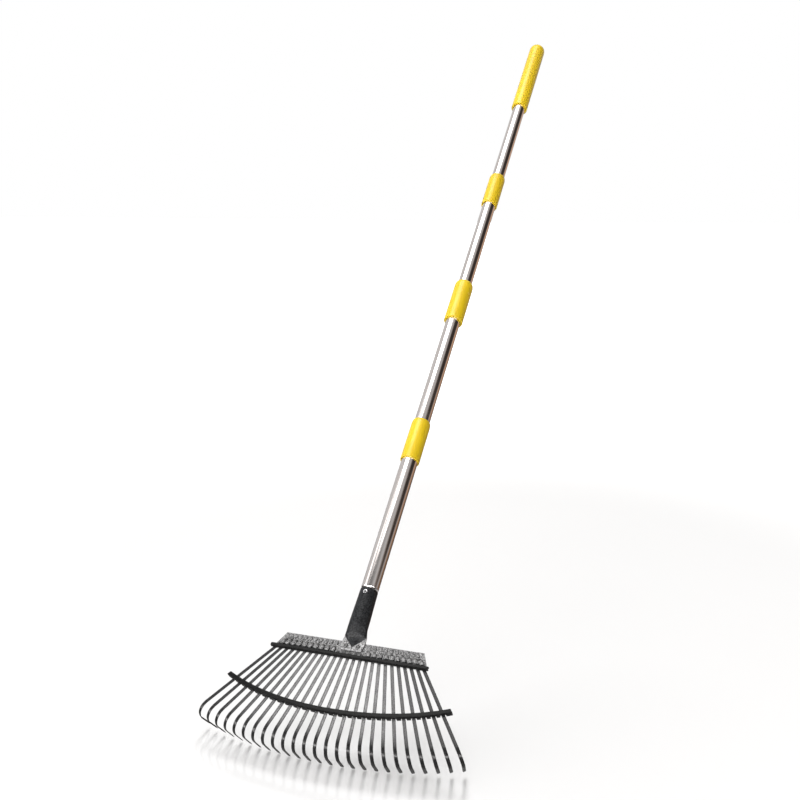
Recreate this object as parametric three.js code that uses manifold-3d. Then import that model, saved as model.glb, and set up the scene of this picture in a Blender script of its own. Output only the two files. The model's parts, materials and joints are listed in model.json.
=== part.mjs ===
// Leaf rake with a telescoping steel pole.
//
// Units are millimetres and +Z is up.  The rake leans back over +Y with the tips of its tines on
// the plane z = 0, and X = 0 is its plane of symmetry.
//
// Two nested frames are used.  In the head frame, +Y runs up the head along its middle tine, +Z is
// the head's upper side, and the origin is where the middle tine leaves the clamp channel.  In the
// pole frame, +Y is the pole's axis, and the origin is at the mouth of the socket.
import * as THREE from 'three';
import { mergeVertices } from 'three/addons/utils/BufferGeometryUtils.js';
import Module from 'manifold-3d';

// ---------------------------------------------------------------- driving dimensions
// stance
const HEAD_SLOPE = 31.9; // degrees, the head's plane above the ground
const POLE_RISE = 10.2; // degrees, the pole's axis above the head's plane

// clearances
const SEAT_GAP = 0.3; // between pieces that touch or clamp
const SLIDE_GAP = 0.15; // radial, between one tube and the next

// tines
const TINE_COUNT = 25;
const TINE_PITCH = 9.5; // at the clamp channel
const TINE_WIDTH = 5.0;
const TINE_THICK = 1.2;
const TINE_REACH = 149; // from the clamp channel to the corner of the hook
const TINE_TRIM = 3.4; // how much shorter the outermost tine is
const TAIL_REACH = 15.2; // up the plate, of a tine beside the socket
const TAIL_REACH_SHORT = 9.6; // of a tine that stops below the socket's foot
const HOOK_LENGTH = 44; // from the corner to the tip
const HOOK_BEND = 101; // degrees
const HOOK_RADIUS = 20; // on the centre line
const FAN_ANGLE = 31.5; // degrees, the even part of the outermost tine's splay
const FAN_FLARE = 4.8; // degrees, the outermost tine's extra splay
const FAN_DISH = 0.1; // slope at which the outermost tine drops out of the head's plane

// head plate
const PLATE_THICK = 1.2;
const PLATE_TOP = 27.5;
const PLATE_HALF_TOP = 12 * TINE_PITCH - 7.5;
const PLATE_HALF_LOW = 12 * TINE_PITCH + 3.5;
const LOOP_LOW = 6.4; // lanced loop over each tail, up the plate
const LOOP_HIGH = 12.8;
const LOOP_WALL = 1.0;
const SLOT_LOW = 13.2; // opening above the loop
const SLOT_HIGH = 16.8;
const SLOT_HALF = 2.3;
const RIB_LOW = 18.0; // pressed rib above the opening
const RIB_HIGH = 25.2;
const RIB_HALF = 2.6;
const RIB_HEIGHT = 1.6;

// clamp channel, straight, along the plate's lower edge
const CLAMP_HALF = 12 * TINE_PITCH + 7;
const CLAMP_WIDTH = 5.2;
const CLAMP_LOW = -1.6; // its front face, up the head
const CLAMP_CROWN = 5.6; // top face above the tines' middle plane

// spreader channel, curved, across the middle of the tines
const SPREADER_REACH = 87.6; // along the middle tine
const SPREADER_SWEEP = 16.3; // how much nearer it crosses the outermost tine
const SPREADER_WIDTH = 6.6;
const SPREADER_CROWN = 5.0; // top face above the tines' middle plane
const SPREADER_DROP = 3.5; // of its flanges below the tines' middle plane
const SPREADER_OVERHANG = 1.0; // past the outermost tine, in tine spaces
const CHANNEL_THICK = 1.2; // sheet of both channels
const NOTCH_SIDE = 0.9; // beside each tine

// socket
const SOCKET_LENGTH = 94; // mouth to the start of the foot, along the pole's axis
const SOCKET_AXIS_HEIGHT = 0.5; // of the pole's axis above the plate plane, at the foot
const SOCKET_AXIS_FOOT = 14.35; // where that is, up the head
const SOCKET_RADIUS = 13.3; // at the mouth
const SOCKET_WALL = 1.7;
const SOCKET_BORE_DEPTH = 50;
const SOCKET_HALF_WIDE = 17.8; // half width of the pressed part
const SOCKET_WAIST = 15.0; // half width where the pressed part begins
const FOOT_LOW = 11.6; // lower edge of the foot, up the head
const FOOT_HALF = 15.5;
const FOOT_THICK = 2.2;
const RIVET_SPAN = 18.4;
const RIVET_PLACE = 18.6; // up the head
const RIVET_SHANK = 2.0; // radius
const RIVET_HEAD = 3.3; // radius
const SCREW_PLACE = 8; // below the socket's mouth
const SCREW_SHANK = 1.6; // radius
const SCREW_HEAD = 3.4; // radius

// pole
const TUBE_RADIUS = 13.2; // of the lowest and widest tube
const TUBE_WALL = 0.3;
const TUBE_SIDES = 32;
const TUBE_OVERLAP = 50; // of one tube inside the next, drawn out
const NECK_DEPTH = 48; // of the lowest tube inside the socket
const COLLAR_SEAT = [232.8, 531, 826]; // lower rim of each collar, along the pole
const COLLAR_LENGTH = [78.3, 90, 79.4];
const COLLAR_RADIUS = [15.6, 16.6, 15.1];
const COLLAR_WALL = 1.2;
const COLLET_INSET = 30; // from a collar's top down to the end of its lower tube
const COLLET_SLITS = 4;
const SLIT_WIDTH = 1.2;
const PLUG_DEPTH = 12;
const PLUG_FLANGE = 2.0;
const GRIP_SEAT = 1116.3;
const GRIP_LENGTH = 204.7;
const GRIP_RADIUS = 15.9;
const GRIP_DOME = 13; // height of the rounded end
const GRIP_FLAT = 6; // radius of the flat at the very end
const GRIP_CAP = 18; // solid rubber above the end of the top tube

const deg = THREE.MathUtils.degToRad;

// ---------------------------------------------------------------- materials
const blackSteel = new THREE.MeshStandardMaterial({ color: 0x26272a, metalness: 0.3, roughness: 0.5 });
const blackSocket = new THREE.MeshStandardMaterial({ color: 0x2b2b2d, metalness: 0.2, roughness: 0.65 });
const stainless = new THREE.MeshStandardMaterial({ color: 0xc9c6c2, metalness: 1.0, roughness: 0.18 });
const yellowPlastic = new THREE.MeshStandardMaterial({ color: 0xe8c81e, metalness: 0, roughness: 0.3 });
const darkPlastic = new THREE.MeshStandardMaterial({ color: 0x303030, metalness: 0, roughness: 0.6 });
const brightScrew = new THREE.MeshStandardMaterial({ color: 0xd4d4d6, metalness: 1.0, roughness: 0.25 });

// ---------------------------------------------------------------- solids
const wasm = await Module();
wasm.setup();

/** A geometry with its shared vertices merged, holding positions alone. */
function welded(geometry) {
  const bare = geometry.clone();
  bare.deleteAttribute('normal');
  bare.deleteAttribute('uv');
  return mergeVertices(bare, 1e-5);
}

/** A closed geometry as a manifold solid. */
function toSolid(geometry) {
  const mesh = welded(geometry);
  return new wasm.Manifold(new wasm.Mesh({
    numProp: 3,
    vertProperties: new Float32Array(mesh.attributes.position.array),
    triVerts: new Uint32Array(mesh.index.array),
  }));
}

/** A manifold solid back as a geometry. */
function toGeometry(solid) {
  const mesh = solid.getMesh();
  const geometry = new THREE.BufferGeometry();
  geometry.setAttribute('position', new THREE.Float32BufferAttribute(mesh.vertProperties, 3));
  geometry.setIndex(new THREE.BufferAttribute(new Uint32Array(mesh.triVerts), 1));
  return geometry;
}

/** body with every tool cut out of it. */
function cut(body, tools) {
  let solid = toSolid(body);
  for (const tool of tools) {
    solid = solid.subtract(toSolid(tool));
  }
  return toGeometry(solid);
}

/** body with every addition joined to it. */
function joined(body, additions) {
  let solid = toSolid(body);
  for (const addition of additions) {
    solid = solid.add(toSolid(addition));
  }
  return toGeometry(solid);
}

/** A named mesh. */
function piece(name, geometry, material) {
  const mesh = new THREE.Mesh(geometry, material);
  mesh.name = name;
  return mesh;
}

/** A turned solid about +Y from [radius, height] pairs, whose profile is closed or ends on the axis. */
function turned(pairs, sides = TUBE_SIDES) {
  return new THREE.LatheGeometry(pairs.map(([r, y]) => new THREE.Vector2(r, y)), sides);
}

/** A turned solid with a hole through it: the profile is closed back onto its first point. */
function turnedRing(pairs, sides = TUBE_SIDES) {
  return turned([...pairs, pairs[0]], sides);
}

/** The outline of a strip of even thickness along a path of Vector2 in its side view. */
function stripShape(path, thick) {
  const left = [];
  const right = [];
  path.forEach((point, i) => {
    const before = i > 0 ? point.clone().sub(path[i - 1]).normalize() : null;
    const after = i < path.length - 1 ? path[i + 1].clone().sub(point).normalize() : null;
    const run = (before && after ? before.clone().add(after) : before || after).clone().normalize();
    const miter = (thick / 2) / (before ? run.dot(before) : 1);
    const side = new THREE.Vector2(-run.y, run.x).multiplyScalar(miter);
    left.push(point.clone().add(side));
    right.push(point.clone().sub(side));
  });
  return new THREE.Shape([...right, ...left.reverse()]);
}

/** A closed skin over rings of equal point counts, with a flat fan at each end. */
function skin(rings) {
  const count = rings[0].length;
  const points = rings.flat();
  const faces = [];
  for (let r = 0; r < rings.length - 1; r += 1) {
    for (let i = 0; i < count; i += 1) {
      const a = r * count + i;
      const b = r * count + ((i + 1) % count);
      faces.push(a, b + count, b, a, a + count, b + count);
    }
  }
  const last = (rings.length - 1) * count;
  for (let i = 1; i < count - 1; i += 1) {
    faces.push(0, i, i + 1);
    faces.push(last, last + i + 1, last + i);
  }
  const geometry = new THREE.BufferGeometry().setFromPoints(points);
  geometry.setIndex(faces);
  return geometry;
}

// ---------------------------------------------------------------- tines
/** How tine i leaves the clamp channel, for i from -12 on the left to 12 on the right. */
function tineLine(i) {
  const u = i / ((TINE_COUNT - 1) / 2);
  return {
    start: new THREE.Vector3(TINE_PITCH * i, 0, 0),
    splay: deg(FAN_ANGLE * u + FAN_FLARE * u ** 3),
    drop: Math.atan(FAN_DISH * u * u),
    share: u,
  };
}

/** The direction down the tine's blade, and the upper side's normal there. */
function tineAxes(line) {
  const flat = new THREE.Vector3(Math.sin(line.splay), -Math.cos(line.splay), 0);
  const up = new THREE.Vector3(0, 0, 1);
  const along = flat.clone().multiplyScalar(Math.cos(line.drop)).addScaledVector(up, -Math.sin(line.drop));
  const normal = flat.clone().multiplyScalar(Math.sin(line.drop)).addScaledVector(up, Math.cos(line.drop));
  return { along, normal };
}

/** Whether the tail of tine i would run under the socket's foot. */
function underFoot(i) {
  return Math.abs(i) * TINE_PITCH - TINE_WIDTH / 2 < SOCKET_HALF_WIDE + SEAT_GAP;
}

/** A flat spring-steel tine: a tail on the plate, a straight blade and a hooked tip. */
function tineGeometry(i) {
  const line = tineLine(i);
  const tail = underFoot(i) ? TAIL_REACH_SHORT : TAIL_REACH;
  const reach = TINE_REACH - TINE_TRIM * line.share ** 2;
  const bend = deg(HOOK_BEND);
  const tangent = HOOK_RADIUS * Math.tan(bend / 2);
  const at = (length, angle) => new THREE.Vector2(Math.cos(angle), -Math.sin(angle)).multiplyScalar(length);
  const path = [new THREE.Vector2(-tail / Math.cos(line.splay), 0), new THREE.Vector2(0, 0)];
  const begin = at(reach - tangent, line.drop);
  const centre = begin.clone().add(at(HOOK_RADIUS, line.drop + Math.PI / 2));
  const steps = 8;
  for (let k = 0; k <= steps; k += 1) {
    const turn = line.drop + (bend * k) / steps;
    path.push(centre.clone().add(at(HOOK_RADIUS, turn - Math.PI / 2)));
  }
  path.push(at(reach, line.drop).add(at(HOOK_LENGTH, line.drop + bend)));
  const blade = new THREE.ExtrudeGeometry(stripShape(path, TINE_THICK), {
    depth: TINE_WIDTH,
    bevelEnabled: false,
  });
  return blade.translate(0, 0, -TINE_WIDTH / 2);
}

/** The tines, each in its own turned holder so that its side view lies in the holder's XY plane. */
function tines() {
  const group = new THREE.Group();
  const half = (TINE_COUNT - 1) / 2;
  for (let i = -half; i <= half; i += 1) {
    const line = tineLine(i);
    const holder = new THREE.Group();
    holder.position.copy(line.start);
    holder.rotation.z = line.splay - Math.PI / 2;
    const tine = piece(`tine_${String(i + half + 1).padStart(2, '0')}`, tineGeometry(i), blackSteel);
    tine.rotation.x = Math.PI / 2;
    holder.add(tine);
    group.add(holder);
  }
  return group;
}

// ---------------------------------------------------------------- channels
/** A box on tine i's line that clears the tine: along runs from low to high down the blade. */
function notchTool(i, low, high, floor) {
  const line = tineLine(i);
  const { along, normal } = tineAxes(line);
  const ceiling = TINE_THICK / 2 + SEAT_GAP;
  const tool = new THREE.BoxGeometry(high - low, ceiling - floor, TINE_WIDTH + 2 * NOTCH_SIDE);
  tool.translate((low + high) / 2, (ceiling + floor) / 2, 0);
  const across = along.clone().cross(normal);
  const place = new THREE.Matrix4().makeBasis(along, normal, across).setPosition(line.start);
  return tool.applyMatrix4(place);
}

/** An upturned channel's section: x along the tines, y above them. */
function channelShape(width, crown, drop) {
  const t = CHANNEL_THICK;
  return new THREE.Shape([
    new THREE.Vector2(-width / 2, -drop),
    new THREE.Vector2(-width / 2 + t, -drop),
    new THREE.Vector2(-width / 2 + t, crown - t),
    new THREE.Vector2(width / 2 - t, crown - t),
    new THREE.Vector2(width / 2 - t, -drop),
    new THREE.Vector2(width / 2, -drop),
    new THREE.Vector2(width / 2, crown),
    new THREE.Vector2(-width / 2, crown),
  ]);
}

/** The straight channel welded across the tines along the plate's lower edge. */
function clampChannel() {
  const shape = channelShape(CLAMP_WIDTH, CLAMP_CROWN, -(TINE_THICK / 2 + SEAT_GAP));
  const bar = new THREE.ExtrudeGeometry(shape, { depth: 2 * CLAMP_HALF, bevelEnabled: false });
  // section x runs down the head, section y is the head's normal, the extrusion runs along -X
  const basis = new THREE.Matrix4().makeBasis(
    new THREE.Vector3(0, -1, 0),
    new THREE.Vector3(0, 0, 1),
    new THREE.Vector3(-1, 0, 0),
  );
  bar.applyMatrix4(basis).translate(CLAMP_HALF, CLAMP_LOW + CLAMP_WIDTH / 2, 0);
  return piece('clamp_channel', bar, blackSteel);
}

/** A point on the spreader: u is 1 at the outermost tine, a runs down the tines, b is above them. */
function spreaderPoint(u, a, b) {
  const line = tineLine(u * ((TINE_COUNT - 1) / 2));
  const { along, normal } = tineAxes(line);
  const crossing = SPREADER_REACH - SPREADER_SWEEP * u * u;
  return line.start.clone().addScaledVector(along, crossing + a).addScaledVector(normal, b);
}

/** The curved channel across the tines, notched over each of them. */
function spreader() {
  const shape = channelShape(SPREADER_WIDTH, SPREADER_CROWN, SPREADER_DROP);
  const half = (TINE_COUNT - 1) / 2;
  const end = 1 + SPREADER_OVERHANG / half;
  const steps = 2 * (TINE_COUNT - 1) + 4;
  const bar = new THREE.ExtrudeGeometry(shape, { depth: 1, steps, bevelEnabled: false });
  const spots = bar.attributes.position;
  for (let k = 0; k < spots.count; k += 1) {
    const u = end * (1 - 2 * spots.getZ(k));
    const spot = spreaderPoint(u, spots.getX(k), spots.getY(k));
    spots.setXYZ(k, spot.x, spot.y, spot.z);
  }
  const tools = [];
  for (let i = -half; i <= half; i += 1) {
    const crossing = SPREADER_REACH - SPREADER_SWEEP * (i / half) ** 2;
    const past = SPREADER_WIDTH / 2 + 3;
    tools.push(notchTool(i, crossing - past, crossing + past, -SPREADER_DROP - 4));
  }
  return piece('spreader_channel', cut(bar, tools), blackSteel);
}

// ---------------------------------------------------------------- plate and fastenings
/** The places of the two rivets, up the head. */
function rivetSpots() {
  return [-1, 1].map((side) => new THREE.Vector2((side * RIVET_SPAN) / 2, RIVET_PLACE));
}

/** A section across tine i's tail, in x and height over the plane, carried up the plate from low to high. */
function alongTail(i, pairs, low, high) {
  const line = tineLine(i);
  const stretch = 1 / Math.cos(line.splay);
  const shape = new THREE.Shape(pairs.map(([x, z]) => new THREE.Vector2(x, z)));
  const bar = new THREE.ExtrudeGeometry(shape, { depth: (high - low) * stretch, bevelEnabled: false });
  bar.rotateX(Math.PI / 2).translate(0, high * stretch, 0);
  return bar.rotateZ(line.splay).translate(line.start.x, 0, 0);
}

/** The loop over a tail: an arch with its feet sunk into the plate. */
function loopSection() {
  const foot = -TINE_THICK / 2 - SEAT_GAP - 0.2;
  const inner = TINE_WIDTH / 2 + SEAT_GAP;
  const outer = inner + LOOP_WALL;
  const ceiling = TINE_THICK / 2 + SEAT_GAP;
  const top = ceiling + LOOP_WALL;
  return [
    [-outer, foot], [-inner, foot], [-inner, ceiling], [inner, ceiling], [inner, foot], [outer, foot],
    [outer - 0.1, ceiling - 0.2], [outer * 0.55, top], [-outer * 0.55, top], [-outer + 0.1, ceiling - 0.2],
  ];
}

/** The pressed rib above it. */
function ribSection() {
  const foot = -TINE_THICK / 2 - SEAT_GAP - 0.2;
  const top = foot + 0.2 + RIB_HEIGHT;
  return [
    [-RIB_HALF, foot], [RIB_HALF, foot], [RIB_HALF * 0.86, top - 0.6], [RIB_HALF * 0.45, top],
    [-RIB_HALF * 0.45, top], [-RIB_HALF * 0.86, top - 0.6],
  ];
}

/** The trapezium plate under the tails of the tines, lanced and ribbed over each tail beside the socket. */
function headPlate() {
  const low = CLAMP_LOW + CHANNEL_THICK;
  const clampTop = CLAMP_LOW + CLAMP_WIDTH;
  const outline = new THREE.Shape([
    new THREE.Vector2(-PLATE_HALF_LOW, low),
    new THREE.Vector2(PLATE_HALF_LOW, low),
    new THREE.Vector2(PLATE_HALF_LOW, clampTop),
    new THREE.Vector2(PLATE_HALF_TOP, PLATE_TOP),
    new THREE.Vector2(-PLATE_HALF_TOP, PLATE_TOP),
    new THREE.Vector2(-PLATE_HALF_LOW, clampTop),
  ]);
  for (const spot of rivetSpots()) {
    outline.holes.push(new THREE.Path().absarc(spot.x, spot.y, RIVET_SHANK + SEAT_GAP, 0, Math.PI * 2));
  }
  const plate = new THREE.ExtrudeGeometry(outline, {
    depth: PLATE_THICK,
    bevelEnabled: false,
    curveSegments: 16,
  });
  const top = -TINE_THICK / 2 - SEAT_GAP;
  plate.translate(0, 0, top - PLATE_THICK);
  const additions = [];
  const slots = [];
  const half = (TINE_COUNT - 1) / 2;
  for (let i = -half; i <= half; i += 1) {
    if (!underFoot(i)) {
      additions.push(alongTail(i, loopSection(), LOOP_LOW, LOOP_HIGH));
      additions.push(alongTail(i, ribSection(), RIB_LOW, RIB_HIGH));
      const hole = [[-SLOT_HALF, -5], [SLOT_HALF, -5], [SLOT_HALF, 0], [-SLOT_HALF, 0]];
      slots.push(alongTail(i, hole, SLOT_LOW, SLOT_HIGH));
      const side = TINE_WIDTH / 2 + SEAT_GAP - 0.05;
      const floor = top + 0.05;
      const ceiling = TINE_THICK / 2 + SEAT_GAP - 0.05;
      const passage = [[-side, floor], [side, floor], [side, ceiling], [-side, ceiling]];
      slots.push(alongTail(i, passage, 0, TAIL_REACH + SEAT_GAP));
    }
  }
  return piece('head_plate', cut(joined(plate, additions), slots), blackSteel);
}

/** A domed rivet through the foot and the plate, set over below. */
function rivet(index, spot) {
  const footTop = -TINE_THICK / 2 + FOOT_THICK;
  const plateBottom = -TINE_THICK / 2 - SEAT_GAP - PLATE_THICK;
  const seat = footTop + SEAT_GAP;
  const tail = plateBottom - SEAT_GAP;
  const body = turned([
    [0, tail - 1.3],
    [RIVET_SHANK + 0.4, tail - 1.3],
    [RIVET_SHANK + 1.0, tail - 0.7],
    [RIVET_SHANK + 1.0, tail],
    [RIVET_SHANK, tail],
    [RIVET_SHANK, seat],
    [RIVET_HEAD, seat],
    [RIVET_HEAD * 0.92, seat + 0.8],
    [RIVET_HEAD * 0.62, seat + 1.5],
    [0, seat + 1.8],
  ], 20);
  body.rotateX(Math.PI / 2);
  const mesh = piece(`rivet_${index + 1}`, body, blackSteel);
  mesh.position.set(spot.x, spot.y, 0);
  return mesh;
}

// ---------------------------------------------------------------- socket
/** Smooth step from 0 below low to 1 above high. */
function ease(low, high, value) {
  return THREE.MathUtils.smoothstep(value, low, high);
}

/** The pole's axis height above the head's plane at y up the head. */
function axisHeight(y) {
  return SOCKET_AXIS_HEIGHT + (y - SOCKET_AXIS_FOOT) * Math.tan(deg(POLE_RISE));
}

/** Half width of the socket at y up the head. */
function socketHalfWidth(y) {
  const mouth = SOCKET_AXIS_FOOT + SOCKET_LENGTH * Math.cos(deg(POLE_RISE));
  const waist = FOOT_LOW + 40;
  const upper = THREE.MathUtils.mapLinear(y, waist, mouth, SOCKET_WAIST, SOCKET_RADIUS);
  const pressed = THREE.MathUtils.lerp(FOOT_HALF, SOCKET_HALF_WIDE, ease(FOOT_LOW, FOOT_LOW + 12, y));
  return THREE.MathUtils.lerp(pressed, upper, ease(FOOT_LOW + 8, waist, y));
}

/** One outer ring of the socket, at y up the head: a flat foot that grows a crown and rounds out. */
function socketRing(y, sides) {
  const base = -TINE_THICK / 2;
  const wing = base + FOOT_THICK;
  const half = socketHalfWidth(y);
  const middle = axisHeight(y);
  const rounded = ease(FOOT_LOW + 22, FOOT_LOW + 36, y);
  const height = THREE.MathUtils.lerp(middle - base, SOCKET_RADIUS, ease(FOOT_LOW + 18, FOOT_LOW + 48, y));
  const crownHalf = half * Math.min(1, Math.max(0, (y - RIVET_PLACE + 1.5) / 18));
  const crownHigh = (middle + height - wing) * ease(RIVET_PLACE - 2, FOOT_LOW + 26, y);
  const tilt = deg(POLE_RISE) * ease(FOOT_LOW + 26, FOOT_LOW + 60, y);
  const ring = [];
  for (let k = 0; k < sides; k += 1) {
    const turn = (2 * Math.PI * k) / sides;
    const c = Math.cos(turn);
    const s = Math.sin(turn);
    const x = half * c;
    const share = Math.min(1, Math.abs(x) / Math.max(crownHalf, 0.01));
    const crown = wing + crownHigh * Math.sqrt(1 - share * share);
    const edge = (base + wing) / 2;
    const pressed = Math.abs(s) < 1e-6 ? edge : (s > 0 ? crown : base);
    const z = THREE.MathUtils.lerp(pressed, middle + height * s, rounded);
    const lean = (z - middle) * Math.sin(tilt);
    ring.push(new THREE.Vector3(x, y - lean, middle + (z - middle) * Math.cos(tilt)));
  }
  return ring;
}

/** The pressed steel socket: a flat riveted foot that rounds out into a bore for the pole. */
function socket() {
  const sides = TUBE_SIDES;
  const rise = deg(POLE_RISE);
  const mouth = SOCKET_AXIS_FOOT + SOCKET_LENGTH * Math.cos(rise);
  const stations = [0, 3, 7, 10, 13, 16, 19, 22, 25, 28, 31, 34, 37, 42, 48, 54, 60].map((d) => FOOT_LOW + d);
  const rings = stations.map((y) => socketRing(y, sides));
  rings.push(socketRing(mouth, sides));
  const bore = SOCKET_RADIUS - SOCKET_WALL;
  for (const depth of [0, SOCKET_BORE_DEPTH]) {
    const y = mouth - depth * Math.cos(rise);
    const ring = [];
    for (let k = 0; k < sides; k += 1) {
      const turn = (2 * Math.PI * k) / sides;
      const height = bore * Math.sin(turn);
      ring.push(new THREE.Vector3(
        bore * Math.cos(turn),
        y - height * Math.sin(rise),
        axisHeight(y) + height * Math.cos(rise),
      ));
    }
    rings.push(ring);
  }
  const tools = rivetSpots().map((spot) => {
    const drill = new THREE.CylinderGeometry(RIVET_SHANK + SEAT_GAP, RIVET_SHANK + SEAT_GAP, 20, 16);
    return drill.rotateX(Math.PI / 2).translate(spot.x, spot.y, 0);
  });
  const screwHole = new THREE.CylinderGeometry(SCREW_SHANK + SEAT_GAP, SCREW_SHANK + SEAT_GAP, 12, 16);
  screwHole.rotateX(Math.PI / 2).translate(0, -SCREW_PLACE, SOCKET_RADIUS);
  screwHole.rotateX(rise).translate(0, mouth, axisHeight(mouth));
  tools.push(screwHole);
  return piece('socket', cut(skin(rings), tools), blackSocket);
}

/** The pan-head screw through the socket's upper side into the pole, in the pole frame. */
function screw() {
  const seat = SOCKET_RADIUS + SEAT_GAP;
  const end = neckRadius() - TUBE_WALL - 4;
  const body = turned([
    [0, end],
    [SCREW_SHANK * 0.5, end],
    [SCREW_SHANK, end + 1.4],
    [SCREW_SHANK, seat],
    [SCREW_HEAD, seat],
    [SCREW_HEAD, seat + 0.9],
    [SCREW_HEAD * 0.7, seat + 1.7],
    [0, seat + 2.0],
  ], 20);
  const slotLength = SCREW_HEAD * 1.1;
  const tools = [0, Math.PI / 2].map((turn) => {
    return new THREE.BoxGeometry(slotLength, 1.6, 0.9).rotateY(turn).translate(0, seat + 2.0, 0);
  });
  const mesh = piece('socket_screw', cut(body, tools), brightScrew);
  mesh.rotation.x = Math.PI / 2;
  mesh.position.y = -SCREW_PLACE;
  return mesh;
}

// ---------------------------------------------------------------- pole
/** Outer radius of tube n, 0 being the lowest. */
function tubeRadius(n) {
  return TUBE_RADIUS - n * (TUBE_WALL + SLIDE_GAP);
}

/** Outer radius of the lowest tube's neck, inside the socket. */
function neckRadius() {
  return SOCKET_RADIUS - SOCKET_WALL - SEAT_GAP;
}

/** Height along the pole of the upper end of tube n. */
function tubeTop(n) {
  if (n < COLLAR_SEAT.length) {
    return COLLAR_SEAT[n] + COLLAR_LENGTH[n] - COLLET_INSET;
  }
  return GRIP_SEAT + GRIP_LENGTH - GRIP_CAP - SEAT_GAP;
}

/** The lowest tube, drawn in to a neck that fits the socket, with a hole for the screw. */
function lowestTube() {
  const r = tubeRadius(0);
  const neck = neckRadius();
  const t = TUBE_WALL;
  const body = turnedRing([
    [neck, -NECK_DEPTH],
    [neck, SEAT_GAP],
    [r, 3],
    [r, tubeTop(0)],
    [r - t, tubeTop(0)],
    [r - t, 3.1],
    [neck - t, SEAT_GAP + 0.1],
    [neck - t, -NECK_DEPTH],
  ]);
  const drill = new THREE.CylinderGeometry(SCREW_SHANK + SEAT_GAP, SCREW_SHANK + SEAT_GAP, 8, 16);
  drill.rotateX(Math.PI / 2).translate(0, -SCREW_PLACE, neck);
  return piece('tube_1', cut(body, [drill]), stainless);
}

/** A plain sliding tube n, from its overlap in the tube below to its own upper end. */
function slidingTube(n) {
  const r = tubeRadius(n);
  const low = tubeTop(n - 1) - TUBE_OVERLAP;
  const body = turnedRing([
    [r, low],
    [r, tubeTop(n)],
    [r - TUBE_WALL, tubeTop(n)],
    [r - TUBE_WALL, low],
  ]);
  return piece(`tube_${n + 1}`, body, stainless);
}

/** The plug in the lower end of sliding tube n. */
function endPlug(n) {
  const low = tubeTop(n - 1) - TUBE_OVERLAP;
  const spigot = tubeRadius(n) - TUBE_WALL - SEAT_GAP;
  const flange = tubeRadius(n) - SEAT_GAP / 3;
  const body = turned([
    [0, low - SEAT_GAP - PLUG_FLANGE],
    [flange - 0.6, low - SEAT_GAP - PLUG_FLANGE],
    [flange, low - SEAT_GAP - PLUG_FLANGE + 0.6],
    [flange, low - SEAT_GAP],
    [spigot, low - SEAT_GAP],
    [spigot, low + PLUG_DEPTH],
    [0, low + PLUG_DEPTH],
  ]);
  return piece(`end_plug_${n + 1}`, body, darkPlastic);
}

/** The slit collet on the upper end of tube n, whose fingers close on tube n + 1. */
function collet(n) {
  const foot = COLLAR_SEAT[n] + 8;
  const top = COLLAR_SEAT[n] + COLLAR_LENGTH[n] - 11;
  const outer = COLLAR_RADIUS[n] - COLLAR_WALL - SEAT_GAP;
  const lower = tubeRadius(n) + SEAT_GAP;
  const upper = tubeRadius(n + 1) + SEAT_GAP;
  const ledge = tubeTop(n) + SEAT_GAP;
  const body = turnedRing([
    [lower, foot],
    [outer, foot],
    [outer, top - 3],
    [(outer + upper) / 2, top],
    [upper, top],
    [upper, ledge],
    [lower, ledge],
  ]);
  const slitLow = ledge + 3;
  const tools = [];
  for (let k = 0; k < COLLET_SLITS; k += 1) {
    const slit = new THREE.BoxGeometry(outer, top + 2 - slitLow, SLIT_WIDTH);
    slit.translate(upper - 1 + outer / 2, (top + 2 + slitLow) / 2, 0);
    tools.push(slit.rotateY((2 * Math.PI * (k + 0.5)) / COLLET_SLITS));
  }
  return piece(`collet_${n + 1}`, cut(body, tools), darkPlastic);
}

/** The twist-lock collar around collet n. */
function collar(n) {
  const low = COLLAR_SEAT[n];
  const high = low + COLLAR_LENGTH[n];
  const outer = COLLAR_RADIUS[n];
  const inner = outer - COLLAR_WALL;
  const lower = tubeRadius(n) + SEAT_GAP;
  const upper = tubeRadius(n + 1) + SEAT_GAP;
  const body = turnedRing([
    [lower, low],
    [outer - 0.5, low],
    [outer, low + 1],
    [outer, high - 13],
    [outer - 0.5, high - 6],
    [(outer + upper) / 2 + 0.4, high - 1.2],
    [(outer + upper) / 2 - 0.4, high],
    [upper, high],
    [upper, high - 6.5],
    [inner, high - 10.2],
    [inner, low + 6],
    [lower, low + 5],
  ]);
  return piece(`collar_${n + 1}`, body, yellowPlastic);
}

/** The hand grip, closed over the end of the top tube: from inside the cap, out and over the end. */
function grip() {
  const high = GRIP_SEAT + GRIP_LENGTH;
  const bore = tubeRadius(COLLAR_SEAT.length) + SEAT_GAP;
  const pairs = [
    [0, high - GRIP_CAP],
    [bore, high - GRIP_CAP],
    [bore, GRIP_SEAT],
    [GRIP_RADIUS - 0.8, GRIP_SEAT],
    [GRIP_RADIUS, GRIP_SEAT + 1.2],
  ];
  const steps = 5;
  for (let k = 0; k <= steps; k += 1) {
    const turn = (k / steps) * (Math.PI / 2);
    const radius = GRIP_FLAT + (GRIP_RADIUS - GRIP_FLAT) * Math.cos(turn);
    pairs.push([radius, high - GRIP_DOME + GRIP_DOME * Math.sin(turn)]);
  }
  pairs.push([0, high]);
  return piece('grip', turned(pairs), yellowPlastic);
}

// ---------------------------------------------------------------- assembly
const pole = new THREE.Group();
pole.rotation.x = deg(POLE_RISE);
pole.position.y = SOCKET_AXIS_FOOT + SOCKET_LENGTH * Math.cos(deg(POLE_RISE));
pole.position.z = axisHeight(pole.position.y);
pole.add(lowestTube());
for (let n = 0; n < COLLAR_SEAT.length; n += 1) {
  pole.add(collet(n), collar(n), slidingTube(n + 1), endPlug(n + 1));
}
pole.add(grip(), screw());

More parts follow.
